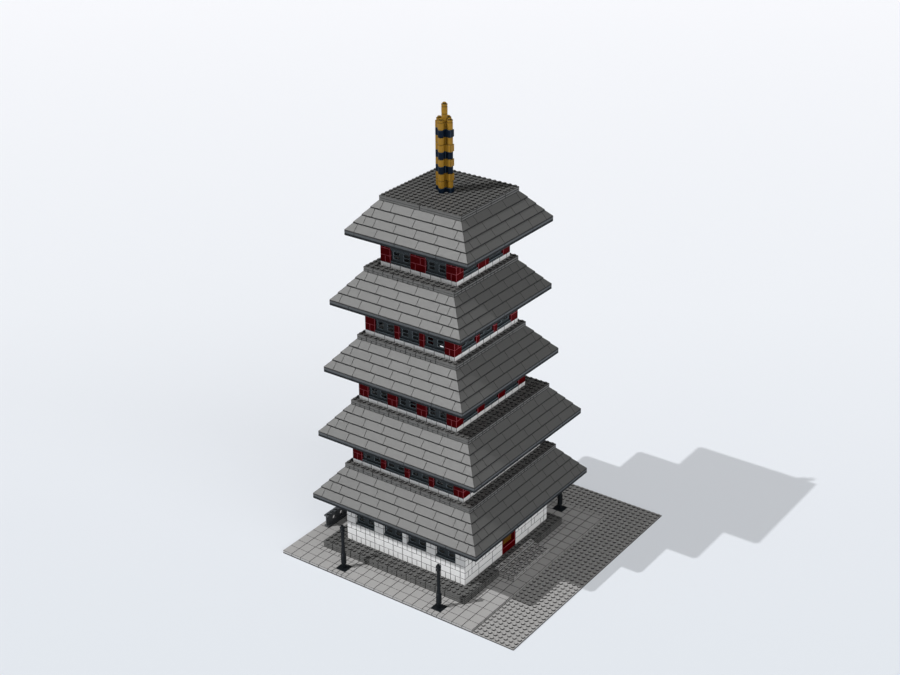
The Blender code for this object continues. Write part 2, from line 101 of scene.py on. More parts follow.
camera_data = bpy.data.cameras.new("camera")
camera_data.lens = LENS_MM
camera_data.shift_x = SHIFT_RIGHT
camera_data.shift_y = SHIFT_UP
camera = bpy.data.objects.new("camera", camera_data)
camera.location = EYE
camera.rotation_euler = (math.pi / 2 - TILT, 0, TURN)
bpy.context.scene.collection.objects.link(camera)
bpy.context.scene.camera = camera

# %% [markdown]
# One far lamp from the front left throws the tower's shadow over the floor towards the back
# right. Its rays were read from the shadow: where each eave's corner falls on the floor. A wide
# lamp from the right keeps the shaded sides readable, and another lights from above. Two faint
# lamps cast no shadow at all: they lift the deep corners under the eaves, one from the front and
# one from above. Plain colours are wanted here, so the picture uses the Standard view and no
# film-like curve.

# %% Light
KEY_RAYS = Vector((0.558, 0.692, -1.0))
SIDE_RAYS = Vector((-0.9, 0.35, -0.35))
OVERHEAD_RAYS = Vector((0.0, 0.0, -1.0))
FRONT_RAYS = Vector((0.25, 0.93, -0.27))
LAMPS_OF_LIGHT = (
    ("key_lamp", KEY_RAYS, 2.66, 0.5, True),
    ("side_fill", SIDE_RAYS, 1.90, 60.0, True),
    ("overhead_fill", OVERHEAD_RAYS, 0.40, 100.0, True),
    ("overhead_lift", OVERHEAD_RAYS, 0.22, 20.0, False),
    ("front_lift", FRONT_RAYS, 0.18, 20.0, False),
)
SURROUND = (1.0, 1.0, 1.0)
SURROUND_STRENGTH = 0.01

for name, rays, strength, disc, shadow in LAMPS_OF_LIGHT:
    lamp_data = bpy.data.lights.new(name, "SUN")
    lamp_data.energy = strength
    lamp_data.angle = math.radians(disc)
    lamp_data.use_shadow = shadow
    lamp = bpy.data.objects.new(name, lamp_data)
    lamp.rotation_euler = rays.to_track_quat("-Z", "Y").to_euler()
    bpy.context.scene.collection.objects.link(lamp)

surround = bpy.data.worlds.new("surround")
surround.use_nodes = True
surround.node_tree.nodes["Background"].inputs["Color"].default_value = (*SURROUND, 1)
surround.node_tree.nodes["Background"].inputs["Strength"].default_value = SURROUND_STRENGTH
bpy.context.scene.world = surround
bpy.context.scene.view_settings.view_transform = "Standard"

# %% [markdown]
# Moulded plastic is one smooth material, yet no two faces catch the light quite alike: the
# colour wanders a little, the gloss has fine streaks from handling, and sloping roof bricks are
# moulded with a fine grain. All paints share these, so they live in one node group, which is
# placed in every material with its own values.

# %% The shared surface group
CLOUD = {"Scale": 55.0, "Detail": 3.0}
STREAKS = {"Scale": 420.0, "Detail": 2.0}
GRAIN = {"Scale": 1600.0, "Detail": 1.0}
GRAIN_DEPTH = 0.0001
GLOSS = {"To Min": 0.36, "To Max": 0.58}
NOISE_MIDDLE = 0.5
SURFACE_SOCKETS = (
    ("Colour", "INPUT", "Color"),
    ("Mottle", "INPUT", "Float"),
    ("Grain", "INPUT", "Float"),
    ("Colour", "OUTPUT", "Color"),
    ("Roughness", "OUTPUT", "Float"),
    ("Normal", "OUTPUT", "Vector"),
)


def add_node(tree, kind, values=(), operation=None):
    """A new node, with values set on its sockets by name or by number."""
    node = tree.nodes.new(f"ShaderNode{kind}")
    if operation:
        node.operation = operation
    for socket, value in dict(values).items():
        node.inputs[socket].default_value = value
    return node


def noise(tree, place, values):
    """A noise on the object's own coordinates."""
    texture = add_node(tree, "TexNoise", values)
    tree.links.new(place.outputs["Object"], texture.inputs["Vector"])
    return texture.outputs["Fac"]


def build_surface_group():
    group = bpy.data.node_groups.new("moulded_surface", "ShaderNodeTree")
    for name, direction, kind in SURFACE_SOCKETS:
        socket = f"NodeSocket{kind}"
        group.interface.new_socket(name=name, in_out=direction, socket_type=socket)
    link = group.links.new
    given = group.nodes.new("NodeGroupInput")
    out = group.nodes.new("NodeGroupOutput")
    place = add_node(group, "TexCoord")

    swing = add_node(group, "Math", {1: NOISE_MIDDLE}, "SUBTRACT")
    amount = add_node(group, "Math", {2: 1.0}, "MULTIPLY_ADD")
    shade = add_node(group, "VectorMath", operation="SCALE")
    link(noise(group, place, CLOUD), swing.inputs[0])
    link(swing.outputs[0], amount.inputs[0])
    link(given.outputs["Mottle"], amount.inputs[1])
    link(given.outputs["Colour"], shade.inputs[0])
    link(amount.outputs[0], shade.inputs["Scale"])
    link(shade.outputs[0], out.inputs["Colour"])

    gloss = add_node(group, "MapRange", GLOSS)
    link(noise(group, place, STREAKS), gloss.inputs["Value"])
    link(gloss.outputs[0], out.inputs["Roughness"])

    bump = add_node(group, "Bump", {"Distance": GRAIN_DEPTH})
    link(given.outputs["Grain"], bump.inputs["Strength"])
    link(noise(group, place, GRAIN), bump.inputs["Height"])
    link(bump.outputs["Normal"], out.inputs["Normal"])
    return group


surface_group = build_surface_group()

# %% [markdown]
# Each paint comes in two materials. The first is the plastic itself. The second is for the
# narrow chamfers along every brick's edges, where two bricks meet in a thin line: on grey,
# white, brown and gold plastic that line reads dark, and on red, slate, navy and the lattices it
# is pale, a painted highlight along the broken edge. A few faces take the second material as
# painted shade. Colours are written as screen values from 0 to 255, and a function makes them
# linear for the shader. A paint is its face's colour, its line's colour, how much the colour
# wanders, how strong the grain is, and the sheen: dark and strongly coloured plastic gets little
# of it, or a white haze would wash its colour out.

# %% Paints
SCREEN_TOP = 255
CURVE_KNEE = 0.04045
CURVE_FOOT = 12.92
CURVE_OFFSET = 0.055
CURVE_POWER = 2.4


def linear(value):
    """The share of light that a screen value from 0 to 255 stands for."""
    share = value / SCREEN_TOP
    if share <= CURVE_KNEE:
        return share / CURVE_FOOT
    return ((share + CURVE_OFFSET) / (1 + CURVE_OFFSET)) ** CURVE_POWER


def screen_colour(screen):
    return (*(linear(value) for value in screen), 1)


# The pale line colours of slate, lattice, red and navy are painted highlights on the edges.
PAINTS = {
    "light_grey": ((163, 162, 161), (50, 50, 50), 0.06, 0.05, 0.30),
    "dark_grey": ((94, 94, 93), (24, 24, 24), 0.10, 0.05, 0.30),
    "roof_grey": ((88, 88, 87), (26, 26, 26), 0.05, 0.25, 0.40),
    "eave_grey": ((76, 79, 82), (20, 21, 22), 0.06, 0.05, 0.20),
    "slate": ((18, 22, 26), (32, 38, 42), 0.12, 0.05, 0.15),
    "lattice": ((43, 50, 54), (112, 122, 128), 0.12, 0.05, 0.15),
    "white": ((227, 227, 227), (56, 56, 58), 0.03, 0.04, 0.30),
    "red": ((76, 0, 4), (162, 86, 94), 0.08, 0.04, 0.02),
    "brown": ((92, 60, 12), (48, 28, 6), 0.15, 0.05, 0.15),
    "gold": ((142, 106, 30), (50, 40, 8), 0.12, 0.05, 0.20),
    "navy": ((10, 23, 38), (52, 66, 80), 0.12, 0.05, 0.08),
}
paints = {}


def make_paint(name, screen, mottle, grain, sheen):
    material = bpy.data.materials.new(name)
    material.use_nodes = True
    tree = material.node_tree
    shader = tree.nodes["Principled BSDF"]
    shader.inputs["Specular IOR Level"].default_value = sheen
    surface = tree.nodes.new("ShaderNodeGroup")
    surface.node_tree = surface_group
    surface.inputs["Colour"].default_value = screen_colour(screen)
    surface.inputs["Mottle"].default_value = mottle
    surface.inputs["Grain"].default_value = grain
    for source, socket in (("Colour", "Base Color"), ("Roughness",) * 2, ("Normal",) * 2):
        tree.links.new(surface.outputs[source], shader.inputs[socket])
    return material


for paint, (face_tone, line_tone, mottle, grain, sheen) in PAINTS.items():
    paints[paint] = (
        make_paint(f"{paint}_face", face_tone, mottle, grain, sheen),
        make_paint(f"{paint}_line", line_tone, mottle, 0.0, sheen),
    )
print("paints:", ", ".join(paints))

# %% [markdown]
# The model stands on a wide pale floor that runs on past the picture's edges. Its tone is
# painted, darker near the camera and lighter far off, as light falls on the sweep of paper that
# small things are shot on. The floor also glows a little: painted light that lifts the shadow
# cast on it and throws some light back up onto the model.

# %% Floor
FLOOR_SIZE = 60.0
FLOOR_GREY = 0.53
# The floor's glow is painted light: an emission that lifts its cast shadow and lights the model.
FLOOR_PAINTED_GLOW = 0.445
FLOOR_ROUGHNESS = 0.9
FLOOR_PAINTED_TONES = (
    (-0.35, (226, 231, 237)),
    (0.05, (229, 233, 239)),
    (0.75, (237, 240, 245)),
    (3.00, (247, 248, 252)),
)


def deselect_all():
    bpy.ops.object.select_all(action="DESELECT")


def painted_floor_tone(tree):
    """A painted ramp of the floor's tone and glow, darker near and lighter far, along the view."""
    near, far = FLOOR_PAINTED_TONES[0][0], FLOOR_PAINTED_TONES[-1][0]
    view = (-math.sin(TURN), math.cos(TURN), 0)
    place = add_node(tree, "TexCoord")
    away = add_node(tree, "VectorMath", {1: view}, "DOT_PRODUCT")
    share = add_node(tree, "MapRange", {"From Min": near, "From Max": far})
    ramp = add_node(tree, "ValToRGB")
    stops = ramp.color_ramp.elements
    for distance, _ in FLOOR_PAINTED_TONES[1:-1]:
        stops.new((distance - near) / (far - near))
    for stop, (_, screen) in zip(stops, FLOOR_PAINTED_TONES):
        stop.color = screen_colour(screen)
    link = tree.links.new
    link(place.outputs["Object"], away.inputs[0])
    link(away.outputs["Value"], share.inputs["Value"])
    link(share.outputs[0], ramp.inputs["Fac"])
    return ramp.outputs["Color"]


def build_floor():
    deselect_all()
    bpy.ops.mesh.primitive_plane_add(size=FLOOR_SIZE, location=(0, 0, 0))
    floor = bpy.context.active_object
    floor.name = "floor"
    material = bpy.data.materials.new("floor_paper")
    material.use_nodes = True
    tree = material.node_tree
    shader = tree.nodes["Principled BSDF"]
    shader.inputs["Roughness"].default_value = FLOOR_ROUGHNESS
    shader.inputs["Specular IOR Level"].default_value = 0.0
    shader.inputs["Emission Strength"].default_value = 1.0
    tone = painted_floor_tone(tree)
    for share, socket in ((FLOOR_GREY, "Base Color"), (FLOOR_PAINTED_GLOW, "Emission Color")):
        scale = add_node(tree, "VectorMath", {"Scale": share}, "SCALE")
        tree.links.new(tone, scale.inputs[0])
        tree.links.new(scale.outputs[0], shader.inputs[socket])
    floor.data.materials.append(material)


build_floor()

# %% [markdown]
# Now a few habits of the bench. We work on one object at a time, chamfer it in edit mode so that
# the new narrow faces take the line material, copy it with a mesh of its own, set a run of
# copies with an Array, and join what belongs together. A finished side can be copied round the
# tower's axis by quarter turns, because all four sides are built alike.

# %% Working habits
SLIT = 0.0002
HALF_SLIT = SLIT / 2
CHAMFER = 0.00032
WIDE_CHAMFERS = {"dark_grey": 0.00050, "light_grey": 0.00040, "white": 0.00036}
NEARLY_NONE = 0.1
NEARLY_ALL = 0.9
OWN_MATERIAL = -1
moulds = []


def only(obj):
    """Selects one object and nothing else, and makes it the active one."""
    deselect_all()
    obj.select_set(True)
    bpy.context.view_layer.objects.active = obj


def settle(obj):
    """Applies place, turn and scale, so that the piece sits at the origin."""
    only(obj)
    bpy.ops.object.transform_apply(location=True, rotation=True, scale=True)


def edit(obj):
    """Opens an object in edit mode with all of it selected."""
    only(obj)
    bpy.ops.object.mode_set(mode="EDIT")
    bpy.ops.mesh.select_all(action="SELECT")


def leave_edit():
    bpy.ops.object.mode_set(mode="OBJECT")


def pick(obj, kind, test):
    """Opens an object in edit mode with only the faces or edges selected that pass a test."""
    edit(obj)
    bpy.ops.mesh.select_mode(type=kind)
    bpy.ops.mesh.select_all(action="DESELECT")
    leave_edit()
    items = obj.data.polygons if kind == "FACE" else obj.data.edges
    for item in items:
        item.select = test(item)
    bpy.ops.object.mode_set(mode="EDIT")


def ends_of(obj, edge):
    """The places of an edge's two ends."""
    return [obj.data.vertices[v].co for v in edge.vertices]


def heights(obj, edge):
    return [end.z for end in ends_of(obj, edge)]


def line_faces(obj, test):
    """Gives the line material to the faces that pass a test."""
    pick(obj, "FACE", test)
    obj.active_material_index = 1
    bpy.ops.object.material_slot_assign()
    leave_edit()


def break_edges(width, segments=1, material=1):
    """Bevels the selected edges and leaves edit mode. The new faces take the line material."""
    bpy.ops.mesh.bevel(offset=width, affect="EDGES", segments=segments, material=material)
    leave_edit()


def chamfer_all(obj, width):
    edit(obj)
    break_edges(width)


def cut_across(obj, place, normal, **options):
    """Cuts an object along a plane."""
    edit(obj)
    bpy.ops.mesh.bisect(plane_co=place, plane_no=normal, **options)
    leave_edit()


def just_added(paint):
    """The primitive that was added last, settled, with its face material and line material."""
    obj = bpy.context.active_object
    settle(obj)
    for material in paints[paint]:
        obj.data.materials.append(material)
    return obj


def slab(low, high, paint):
    """A plain slab between two corners, in metres, with its edges left sharp."""
    low, high = Vector(low), Vector(high)
    deselect_all()
    bpy.ops.mesh.primitive_cube_add(size=1, location=(low + high) / 2, scale=high - low)
    return just_added(paint)


def block(low, high, paint, width=CHAMFER):
    """A slab with all its edges chamfered."""
    obj = slab(low, high, paint)
    chamfer_all(obj, width)
    return obj


def cylinder(radius, long, middle, paint, sides, rotation=(0, 0, 0)):
    """A plain cylinder round its middle, with its edges left sharp."""
    deselect_all()
    bpy.ops.mesh.primitive_cylinder_add(
        vertices=sides, radius=radius, depth=long, location=middle, rotation=rotation
    )
    return just_added(paint)


def as_mould(obj, name):
    """Names a mould and notes it down, so that it can be put away at the end."""
    obj.name = f"mould_{name}"
    moulds.append(obj)
    return obj


def copy_of(obj):
    """A copy with its own mesh."""
    new = obj.copy()
    new.data = obj.data.copy()
    bpy.context.scene.collection.objects.link(new)
    return new


def repeat(obj, step, count):
    """Repeats an object by an Array that is applied at once."""
    if count < 2:
        return obj
    only(obj)
    array = obj.modifiers.new("run", "ARRAY")
    array.use_relative_offset = False
    array.use_constant_offset = True
    array.constant_offset_displace = step
    array.count = count
    bpy.ops.object.modifier_apply(modifier=array.name)
    return obj


def join_all(name, parts):
    """Joins parts into one piece that sits at the origin."""
    deselect_all()
    for part in parts:
        part.select_set(True)
    bpy.context.view_layer.objects.active = parts[0]
    if len(parts) > 1:
        bpy.ops.object.join()
    piece = bpy.context.view_layer.objects.active
    piece.name = name
    piece.data.name = name
    settle(piece)
    return piece


def turn_round(obj, turns, middle):
    """Turns an object about the upright line through a place on the plan, in studs."""
    centre = Vector((across(middle), across(middle), 0))
    turn = Matrix.Rotation(turns * math.pi / 2, 4, "Z")
    obj.matrix_world = Matrix.Translation(centre) @ turn @ Matrix.Translation(-centre)
    settle(obj)
    return obj


def all_round(name, parts, middle):
    """The parts of one side, joined, and three turned copies of it as one piece."""
    side = join_all(name, parts)
    copies = [turn_round(copy_of(side), turns, middle) for turns in (1, 2, 3)]
    return join_all(name, [side] + copies)


def finish_piece(piece, paint, *nodes, body="tower"):
    """Lets a piece ride on its body and stand for the solids that it replaces."""
    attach(piece, body)
    if nodes:
        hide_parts(*nodes)
    print(f"{piece.name}: {len(piece.data.polygons)} faces")


# %% [markdown]
# A brick or plate starts as a block, one slit smaller than its studs, with chamfered edges. We
# model each size once, and the cache keeps it as a mould: a second call with the same numbers
# gives the same object. Copies are set down wherever that size is needed, and the moulds are put
# away at the end.

# %% Moulds for bricks and plates
@cache
def brick_mould(long, wide, plates, paint):
    """One brick, its low left front corner at the origin, half a slit in on each side."""
    low = (HALF_SLIT, HALF_SLIT, 0)
    high = (long * STUD - HALF_SLIT, wide * STUD - HALF_SLIT, plates * PLATE)
    brick = block(low, high, paint, WIDE_CHAMFERS.get(paint, CHAMFER))
    return as_mould(brick, f"{paint}_{long}_{wide}_{plates}")


def set_down(mould, x, y, height):
    """A copy of a mould on the grid: place in studs and height in plates."""
    new = copy_of(mould)
    new.location = (across(x), across(y), level(height))
    return new


def lay(x, y, height, runs, wide, plates, paint):
    """Lays runs of bricks along X from a place on the grid. A run is (length, count)."""
    laid = []
    for long, count in runs:
        first = set_down(brick_mould(long, wide, plates, paint), x, y, height)
        laid.append(repeat(first, (long * STUD, 0, 0), count))
        x += long * count
    return laid


LONG_PLATES = (8, 6, 4, 2, 1)


def fill(studs, lengths=LONG_PLATES):
    """Runs of the longest bricks that fill a number of studs."""
    runs = []
    for long in lengths:
        count, studs = divmod(studs, long)
        if count:
            runs.append((long, count))
    return runs


print("a 30 stud course takes", fill(30))

# %% [markdown]
# A stud is a short round boss, 4.8 mm across, with a slightly broken top edge. Its top looks
# just like the plate, and what the eye finds is its side in shade, so the side is painted dark
# in the line material: painted shade. On the light and dark greys the broken edge is painted
# dark too. Hundreds show here, so each has only sixteen sides. A field of them is one stud
# repeated by two Arrays, and the square frame of studs on a ledge is four such fields.

# %% Studs
STUD_RADIUS = 0.0024
STUD_HIGH = 0.0017
STUD_SIDES = 16
STUD_EDGE = 0.00020
LINED_EDGES = {"dark_grey": 0.00042, "light_grey": 0.00030}


@cache
def stud_mould(paint):
    middle = (STUD / 2, STUD / 2, STUD_HIGH / 2)
    stud = cylinder(STUD_RADIUS, STUD_HIGH, middle, paint, STUD_SIDES)
    # The stud's side is painted dark all round: painted shade.
    line_faces(stud, lambda face: abs(face.normal.z) < NEARLY_NONE)
    pick(stud, "EDGE", lambda edge: min(heights(stud, edge)) > STUD_HIGH / 2)
    break_edges(LINED_EDGES.get(paint, STUD_EDGE), material=int(paint in LINED_EDGES))
    return as_mould(stud, f"stud_{paint}")


def stud_field(x0, y0, x1, y1, height, paint):
    """A rectangle of studs between two places on the grid."""
    field = set_down(stud_mould(paint), x0, y0, height)
    repeat(field, (STUD, 0, 0), x1 - x0)
    repeat(field, (0, STUD, 0), y1 - y0)
    return field


def stud_fields(plans, height, paint):
    """Several rectangles of studs, each given as (x0, y0, x1, y1)."""
    return [stud_field(*plan, height, paint) for plan in plans]


def stud_frame(outer, inner, height, paint):
    """Studs between an outer and an inner square, each given as (low, high) in studs."""
    low, high = outer
    near, far = inner
    plans = (
        (low, low, high, near),
        (low, far, high, high),
        (low, near, near, far),
        (far, near, high, far),
    )
    return stud_fields(plans, height, paint)


# %% [markdown]
# The ground: a thin baseplate, bare and studded to the right and behind, and a field of smooth
# tiles over the rest. Two rows of small tiles run beside the dark platform because the wide
# tiles don't divide its edge evenly, and single tiles close the square round each lamp's foot.

# %% Baseplate
paving_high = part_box("paving")[1]
PAVED_X = round((paving_high.x - base_low.x) / STUD)
PAVED_Y = round((paving_high.y - base_low.y) / STUD)

base_slab = block(base_low, base_high, "light_grey")
line_faces(base_slab, lambda face: abs(face.normal.z) < NEARLY_NONE)
base_slab.name = "base_slab"
finish_piece(base_slab, "light_grey", "baseplate")
bare = ((PAVED_X, 0, BASE_STUDS, BASE_STUDS), (0, PAVED_Y, PAVED_X, BASE_STUDS))
finish_piece(join_all("base_studs", stud_fields(bare, 0, "light_grey")), "light_grey")

# %% Paving tiles
PLINTH = plan_of("plinth")[:2]
TERRACE = (34, 15, 38, 26)
LAMPS = ((12, 2), (32, 2), (12, 39), (32, 39))
STANDS = [(PLINTH[0], PLINTH[0], PLINTH[1], PLINTH[1]), TERRACE]
STANDS += [(x - 1, y - 1, x + 1, y + 1) for x, y in LAMPS]


def is_free(plan):
    """Whether nothing stands on a plan, given as (x0, y0, x1, y1)."""
    x0, y0, x1, y1 = plan
    return not any(x0 < s[2] and s[0] < x1 and y0 < s[3] and s[1] < y1 for s in STANDS)


def tile_plans():
    """The tiles' plans: a grid of two by two, cut up where something stands in it."""
    plans = []
    for x in range(0, PAVED_X, 2):
        for y in range(0, PAVED_Y, 2):
            whole = (x, y, x + 2, min(y + 2, PAVED_Y))
            cells = [(u, v, u + 1, v + 1) for u in (x, x + 1) for v in range(y, whole[3])]
            plans += [whole] if is_free(whole) else [cell for cell in cells if is_free(cell)]
    return plans


tiles = [
    set_down(brick_mould(x1 - x0, y1 - y0, 1, "light_grey"), x0, y0, 0)
    for x0, y0, x1, y1 in tile_plans()
]
print(len(tiles), "paving tiles")
finish_piece(join_all("paving_tiles", tiles), "light_grey", "paving")

# %% [markdown]
# The platform is four plates high, in dark grey with studs all over its rim. Each layer is a
# ring of short plates laid with its joints away from those below. In front of the door a lighter
# terrace is let into it: three plates high, with a fourth along the wall's side.

# %% Platform
RIM = 4
DOOR_SIDE_NOTCH = 1
plinth_low, plinth_high = PLINTH
plinth_wide = plinth_high - plinth_low
PLINTH_MIDDLE = (plinth_low + plinth_high) / 2
PLINTH_TOP = plan_of("plinth")[3]


def ring_side(low, high, height, rim, paint, lengths, backwards=False):
    """The plates of one side of a ring, from its left corner up to the next corner."""
    runs = fill(high - low - rim, lengths)
    return lay(low, low, height, runs[::-1] if backwards else runs, rim, 1, paint)


def notched_side(height, lengths):
    """The platform's right side, laid as a front one: a stud narrower behind the terrace."""
    before = TERRACE[1] - plinth_low
    along = TERRACE[3] - TERRACE[1]
    after = plinth_wide - RIM - before - along
    side = []
    x = plinth_low
    for studs, notch in ((before, 0), (along, DOOR_SIDE_NOTCH), (after, 0)):
        place = (x, plinth_low + notch, height)
        side += lay(*place, fill(studs, lengths), RIM - notch, 1, "dark_grey")
        x += studs
    return side


SHORT_PLATES = ((1,), (2, 1))
platform = []
for layer in range(PLINTH_TOP):
    lengths = SHORT_PLATES[layer % 2]
    sides = ring_side(plinth_low, plinth_high, layer, RIM, "dark_grey", lengths)
    plain = join_all("plain", sides)
    notched = join_all("notched", notched_side(layer, lengths))
    platform += [turn_round(copy_of(plain), turns, PLINTH_MIDDLE) for turns in (2, 3)]
    platform += [turn_round(notched, 1, PLINTH_MIDDLE), plain]
inner = plinth_low + RIM
floor_plate = set_down(brick_mould(2, 2, 1, "dark_grey"), inner, inner, PLINTH_TOP - 1)
repeat(floor_plate, (2 * STUD, 0, 0), (plinth_wide - 2 * RIM) // 2)
repeat(floor_plate, (0, 2 * STUD, 0), (plinth_wide - 2 * RIM) // 2)
finish_piece(join_all("platform_plates", platform + [floor_plate]), "dark_grey", "plinth")

ground_low, ground_high = plan_of("front_wall")[:2]
x0, y0, x1, y1 = TERRACE
rim = (
    (plinth_low, plinth_low, plinth_high, ground_low),
    (plinth_low, ground_high, plinth_high, plinth_high),
    (plinth_low, ground_low, ground_low, ground_high),
    (ground_high, ground_low, plinth_high, y0),
    (ground_high, y1, plinth_high, ground_high),
    (ground_high, y0, x0, y1),
)
rim_studs = join_all("platform_studs", stud_fields(rim, PLINTH_TOP, "dark_grey"))
finish_piece(rim_studs, "dark_grey")

# %% Terrace
TERRACE_TOP = 3

terrace = []
for layer in range(TERRACE_TOP + 1):
    right = x1 if layer < TERRACE_TOP else plinth_high
    for row in range(x0, right):
        shift = (row + layer) % 2
        runs = [(1, 1)] * shift + fill(y1 - y0 - shift, (2, 1))
        laid = join_all("row", lay(y0, -row - 1, layer, runs, 1, 1, "light_grey"))
        terrace.append(turn_round(laid, 1, 0))
terrace.append(stud_field(plinth_high, y0, x1, y1, TERRACE_TOP, "light_grey"))
terrace.append(stud_field(x0, y0, plinth_high, y1, TERRACE_TOP + 1, "light_grey"))
finish_piece(join_all("terrace_plates", terrace), "light_grey", "entrance_steps")

# %% [markdown]
# Walls come next. Below the windows three full courses run round: single-stud bricks, a course
# of two-stud bricks and single ones again, and on the door's side longer bricks at the foot.
# Above them stand pillars with open bays between. Where a pillar is two studs wide, its courses
# change between one long brick and two short ones, as in any sound wall, and at the corners the
# long brick lies along one side in one course and along the other side in the next.

# %% Ground walls
SILL = 13
GROUND_TOP = 25
GROUND_BAYS = (2, 4, 2, 4, 1, 4, 2, 4, 2)
DOOR = (19, 23)
CORNER = 2
WINDOW_BAY = 4
ground_middle = (ground_low + ground_high) / 2
ground_wide = ground_high - ground_low
run_length = ground_wide - 1
door_from, door_to = (stud - ground_low for stud in DOOR)
DOOR_SIDE_BAYS = (
    CORNER,
    WINDOW_BAY,
    door_from - CORNER - WINDOW_BAY,
    door_to - door_from,
    ground_wide - door_to - WINDOW_BAY - CORNER,
    WINDOW_BAY,
    CORNER,
)
FRONT_PILLARS = (0, 2)
BACK_PILLARS = (4, 6)
WIDE_SIDE = (1, 2, 1)
LONG_SIDE = (4, 2, 1)
FRONT_BONDS = ((4, 4, 3), (1, 1, 2, 4, 3), (2, 1, 2, 1, 1, 2, 2))
BACK_BONDS = ((4, 4, 1), (2, 1, 2, 1, 3), (1, 2, 2, 2, 2))


def pillar_bricks(width, long_first):
    """The brick lengths across a pillar: two-stud bricks, after a single one in every other
    course."""
    lengths = [] if long_first or width == 1 else [1]
    left = width - sum(lengths)
    return lengths + [2] * (left // 2) + [1] * (left % 2)


def one_each(lengths):
    """Runs for bricks that are laid one after the other."""
    return [(long, 1) for long in lengths]


def pillar_course(low, bays, height, long_course, paint, skip=()):
    """One course of the pillars of a side, laid as the front one. In a long course the corner
    bricks belong to this side, and in a short one the corner studs belong to its neighbours."""
    laid = []
    at = low
    for index, width in enumerate(bays):
        if index % 2 == 0 and index not in skip:
            start = at
            lengths = pillar_bricks(width, long_course)
            if index in (0, len(bays) - 1):
                lengths = [2] if long_course else [1]
            if index == 0 and not long_course:
                start += 1
            laid += lay(start, low, height, one_each(lengths), 1, BRICK, paint)
        at += width
    return laid


def pillar_courses(low, bays, foot, top, long_when, paint, skip=()):
    """The courses of pillars between two levels. The odd ones are long if long_when is 1."""
    laid = []
    for index in range((top - foot) // BRICK):
        course = (foot + index * BRICK, index % 2 == long_when)
        laid += pillar_course(low, bays, *course, paint, skip)
    return laid


def side_courses(longest):
    """The full courses of a whole side, each with its own longest brick."""
    return [fill(run_length, (long, 3, 2, 1)) for long in longest]


def lay_wall(node, turns, start, courses, bays, long_when, skip=()):
    """A wall's full courses and its pillars, laid as the front wall and turned to its side."""
    parts = []
    for index, runs in enumerate(courses):
        place = (ground_low + start, ground_low, PLINTH_TOP + index * BRICK)
        parts += lay(*place, runs, 1, BRICK, "white")
    parts += pillar_courses(ground_low, bays, SILL, GROUND_TOP, long_when, "white", skip)
    piece = turn_round(join_all(f"{node}_bricks", parts), turns, ground_middle)
    finish_piece(piece, "white", node)


WALLS = (
    ("front_wall", 0, 0, side_courses(WIDE_SIDE), GROUND_BAYS, 0),
    ("back_wall", 2, 0, side_courses(WIDE_SIDE), GROUND_BAYS, 0),
    ("left_wall", 3, 0, side_courses(LONG_SIDE), GROUND_BAYS, 1),
    ("right_wall_front", 1, 0, map(one_each, FRONT_BONDS), DOOR_SIDE_BAYS, 1, BACK_PILLARS),
    ("right_wall_back", 1, door_to, map(one_each, BACK_BONDS), DOOR_SIDE_BAYS, 1, FRONT_PILLARS),
)
for wall in WALLS:
    lay_wall(*wall)

top_row = lay(ground_low, ground_low, GROUND_TOP, fill(run_length, (4,)), 1, 1, "white")
finish_piece(all_round("wall_plates", top_row, ground_middle), "white", "wall_plate")

# %% [markdown]
# The windows are low lattice panels, four studs long and two bricks high, stacked in pairs
# between the pillars. A panel has a base as deep as a brick, a thin top rail, and a web between
# them with two pairs of round-ended slots, one above the other. The web starts as a flat slab.
# We cut it across where a slot begins and ends, which leaves a face in front and one behind for
# each slot, and a bridge between the two opens the slot.

# %% Lattice panel
PANEL_LONG = 4
PANEL_PLATES = 6
BASE_HIGH = 0.0032
RAIL_HIGH = 0.0024
RAIL_DEEP = 0.0044
WEB_FRONT = 0.0026
WEB_THICK = 0.0024
SLOT_LONG = 0.0090
SLOT_HIGH = 0.0040
SLOT_FEET = (0.0064, 0.0118)
SLOT_MIDDLES = (0.0080, 0.0240)
SLOT_CORNER = 0.0010
LATTICE_CHAMFER = 0.00042
SHARP = math.radians(60)


def slot_boxes():
    """The slots of a panel, each as (left, right, foot, head)."""
    reach = SLOT_LONG / 2
    return [
        (middle - reach, middle + reach, foot, foot + SLOT_HIGH)
        for middle in SLOT_MIDDLES
        for foot in SLOT_FEET
    ]


def open_slot(web, left, right, foot, head):
    """Bridges the front and the back face of one slot, and rounds its four corners."""

    def in_slot(face):
        x, _, z = face.center
        return abs(face.normal.y) > NEARLY_ALL and left < x < right and foot < z < head

    def at_corner(edge):
        ends = ends_of(web, edge)
        runs_through = abs(ends[0].y - ends[1].y) > WEB_THICK / 2
        sides = min(abs(ends[0].x - left), abs(ends[0].x - right))
        levels = min(abs(ends[0].z - foot), abs(ends[0].z - head))
        return runs_through and sides < SLIT and levels < SLIT

    pick(web, "FACE", in_slot)
    bpy.ops.mesh.bridge_edge_loops()
    leave_edit()
    pick(web, "EDGE", at_corner)
    break_edges(SLOT_CORNER, 2, OWN_MATERIAL)


def slotted_web(foot, head):
    """The web between the base and the top rail, with its slots open and its rims broken."""
    low = (HALF_SLIT, WEB_FRONT, foot)
    web = slab(low, (PANEL_LONG * STUD - HALF_SLIT, WEB_FRONT + WEB_THICK, head), "lattice")
    boxes = slot_boxes()
    for x in sorted({edge for box in boxes for edge in box[:2]}):
        cut_across(web, (x, 0, 0), (1, 0, 0))
    for z in sorted({edge for box in boxes for edge in box[2:]}):
        cut_across(web, (0, 0, z), (0, 0, 1))
    for box in boxes:
        open_slot(web, *box)
    edit(web)
    bpy.ops.mesh.select_all(action="DESELECT")
    bpy.ops.mesh.edges_select_sharp(sharpness=SHARP)
    break_edges(LATTICE_CHAMFER)
    return web


